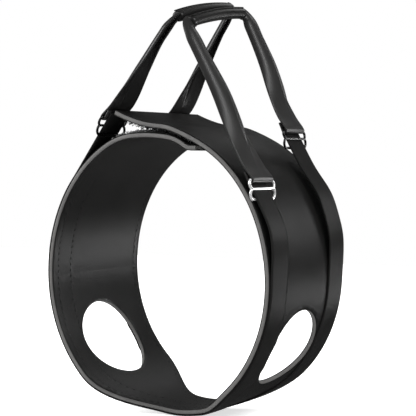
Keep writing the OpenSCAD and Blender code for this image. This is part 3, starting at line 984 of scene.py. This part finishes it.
def pad_out(piece, voxel=1.3, cap=1.0):
    """Runs a closed form as cloth under inner pressure, with no point moving farther than
    cap. At this pressure the grips' surface moves only about 0.1 mm."""
    remesh = piece.modifiers.new("even", "REMESH")
    remesh.mode, remesh.voxel_size = "VOXEL", voxel * MM
    bake_modifiers(piece)
    start = np.array([v.co[:] for v in piece.data.vertices])
    cloth = piece.modifiers.new("swell", "CLOTH")
    cloth.settings.use_pressure = True
    cloth.settings.uniform_pressure_force = 4.0
    cloth.settings.mass = 0.2
    cloth.settings.quality = 8
    cloth.settings.effector_weights.gravity = 0.0
    scene = bpy.context.scene
    for number in range(1, SWELL_FRAMES + 1):
        scene.frame_set(number)
    bake_modifiers(piece)
    scene.frame_set(1)
    moved = np.array([v.co[:] for v in piece.data.vertices])
    if len(moved) != len(start) or not np.isfinite(moved).all():
        raise RuntimeError("the padding's simulation failed")
    step = moved - start
    size = np.linalg.norm(step, axis=1, keepdims=True)
    moved = start + step * np.minimum(1.0, cap * MM / np.maximum(size, 1e-12))
    for vertex, place_at in zip(piece.data.vertices, moved):
        vertex.co = place_at
    finer = piece.modifiers.new("finer", "SUBSURF")
    finer.levels = finer.render_levels = 1
    bake_modifiers(piece)
    piece.data.shade_smooth()


def bake_modifiers(piece):
    """Applies every modifier of a piece to its mesh."""
    graph = bpy.context.evaluated_depsgraph_get()
    baked = bpy.data.meshes.new_from_object(piece.evaluated_get(graph))
    piece.modifiers.clear()
    piece.data = baked


def build_grip(side):
    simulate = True
    centres, out, up, sections = grip_form(side, SWELL_ROOM if simulate else 0.0)
    piece = sweep(f"{NAME[side]}_grip_sleeve", centres, out, up, sections, sharp=70)
    if simulate:
        pad_out(piece)
    finish_piece(piece, PADDING, "grip_padding", f"{NAME[side]}_handle",
                 f"{NAME[side]}_grip_cover", f"{NAME[side]}_grip_core")
    build_welt(side)


def build_welt(side):
    """The closing seam along a grip: a thin welt on the upper side of the padding."""
    y = np.linspace(GRIP_HALF - 2.5, -GRIP_HALF + 2.5, 60)
    centres, out, up = grip_axes(side, y)
    angle = SEAM_ANGLE[side]
    centres = centres + (GRIP_R - 0.2) * math.cos(angle) * out
    centres = centres + (GRIP_TALL - 0.1) * math.sin(angle) * up
    around = np.linspace(0, 2 * np.pi, 10, endpoint=False)
    section = np.stack([0.75 * np.cos(around), 0.55 * np.sin(around)], -1)
    across = -math.sin(angle) * out + math.cos(angle) * up
    normals = math.cos(angle) * out + math.sin(angle) * up
    piece = sweep(f"{NAME[side]}_grip_welt", centres, across, normals,
                  np.tile(section, (len(y), 1, 1)), sharp=80)
    finish_piece(piece, PADDING, "grip_padding", f"{NAME[side]}_handle")


# ---- Adjusters ----

def build_adjusters():
    for side in (LEFT, RIGHT):
        for end in (FRONT, REAR):
            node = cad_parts[f"{NAME[side]}_{END[end]}_adjuster"]
            # Only the right front adjuster gets the bright plated wire; the other three get a copy
            # darkened to near black as painted shade.
            bright = (side, end) == (RIGHT, FRONT)
            node.data.materials.clear()
            node.data.materials.append(BRIGHT if bright else SHADED_WIRE)
            node.data.shade_smooth()


# ---- Studio ----

CAMERA_AZIMUTH, CAMERA_ELEVATION, CAMERA_DISTANCE, LENS = 32, 5, 1.136, 112.5
AIM_UP, AIM_RIGHT = 0.056, 0.0115
FILL_STRENGTH = 0.10                # light from all round; the backdrop itself is white
SUN_STRENGTH, FLOOR_GLOW = 2.6, 0.7
LIGHTS = (
    # name, place, aim, width, height, power in watts; lengths here are in metres
    ("back_right_box", (0.72, 1.0, -0.26), (0, 0, 0), 0.5, 0.20, 10.0),
    ("back_top_box", (-0.05, 1.0, 0.80), (0, 0, 0.1), 0.5, 0.25, 0.8),
    ("near_right_box", (0.28, 0.28, 0.14), (0.11, 0, 0.03), 0.12, 0.12, 0.38),
    ("left_box", (-0.9, -0.5, 0.5), (0, 0, 0.15), 0.5, 0.5, 8.0),
    ("right_strip", (0.95, 0.0, 0.90), (0, 0, 0.1), 0.25, 0.5, 7.0),
    ("front_top_box", (-0.5, -1.0, 1.2), (0, 0, 0.1), 0.6, 0.6, 8.0),
)


def build_studio():
    """Adds the pale floor, the white backdrop, the soft lights and the camera."""
    floor_mesh = bpy.data.meshes.new("floor")
    size, drop = 1.5, float(cad_low.z) - 0.0005
    floor_mesh.from_pydata([(-size, -size, drop), (size, -size, drop), (size, size, drop),
                            (-size, size, drop)], [], [(0, 1, 2, 3)])
    floor = bpy.data.objects.new("floor", floor_mesh)
    bpy.context.scene.collection.objects.link(floor)
    pale = Nodes("pale_floor", Roughness=0.9, Specular_IOR_Level=0.1,
                 Emission_Color=(1, 1, 1, 1), Emission_Strength=FLOOR_GLOW)
    where = pale.add("TexCoord").outputs["Object"]
    pale.link(pale.ramp(pale.noise(where, 3.0), grey(0.86), grey(0.88)), "Base Color")
    floor.data.materials.append(pale.material)
    floor.visible_glossy = False

    world = bpy.data.worlds.new("studio")
    bpy.context.scene.world = world
    world.use_nodes = True
    tree = world.node_tree
    backdrop = tree.nodes["Background"]
    backdrop.inputs["Color"].default_value = (1, 1, 1, 1)
    dim = tree.nodes.new("ShaderNodeBackground")
    dim.inputs["Color"].default_value = (1, 1, 1, 1)
    dim.inputs["Strength"].default_value = FILL_STRENGTH
    mix = tree.nodes.new("ShaderNodeMixShader")
    tree.links.new(tree.nodes.new("ShaderNodeLightPath").outputs["Is Camera Ray"], mix.inputs[0])
    tree.links.new(dim.outputs[0], mix.inputs[1])
    tree.links.new(backdrop.outputs[0], mix.inputs[2])
    tree.links.new(mix.outputs[0], tree.nodes["World Output"].inputs["Surface"])
    sun = bpy.data.lights.new("overhead", "SUN")
    sun.energy, sun.angle = SUN_STRENGTH, math.radians(120)
    overhead = bpy.data.objects.new("overhead", sun)
    overhead.visible_glossy = False
    bpy.context.scene.collection.objects.link(overhead)
    for name, place_at, aim, width, height, power in LIGHTS:
        light = bpy.data.lights.new(name, "AREA")
        light.shape, light.size, light.size_y, light.energy = "RECTANGLE", width, height, power
        lamp = bpy.data.objects.new(name, light)
        lamp.location = place_at
        lamp.rotation_euler = (Vector(aim) - Vector(place_at)).to_track_quat("-Z", "Y").to_euler()
        bpy.context.scene.collection.objects.link(lamp)

    azimuth, elevation = math.radians(CAMERA_AZIMUTH), math.radians(CAMERA_ELEVATION)
    back = Vector((math.sin(azimuth) * math.cos(elevation), -math.cos(azimuth) * math.cos(elevation),
                   math.sin(elevation)))
    right = Vector((math.cos(azimuth), math.sin(azimuth), 0))
    aim = Vector((0, 0, AIM_UP)) + right * AIM_RIGHT
    data = bpy.data.cameras.new("camera")
    data.lens, data.sensor_width = LENS, 36.0
    camera = bpy.data.objects.new("camera", data)
    camera.location = back * CAMERA_DISTANCE
    camera.rotation_euler = (aim - camera.location).to_track_quat("-Z", "Y").to_euler()
    bpy.context.scene.collection.objects.link(camera)
    bpy.context.scene.camera = camera


bpy.context.scene.view_settings.view_transform = "Standard"
build_studio()
build_band()
build_flaps()
build_patches()
build_stitches()
build_webbing()
for strap_side in (LEFT, RIGHT):
    build_grip(strap_side)
    for strap_end in (FRONT, REAR):
        upper_strap(strap_side, strap_end)
build_adjusters()
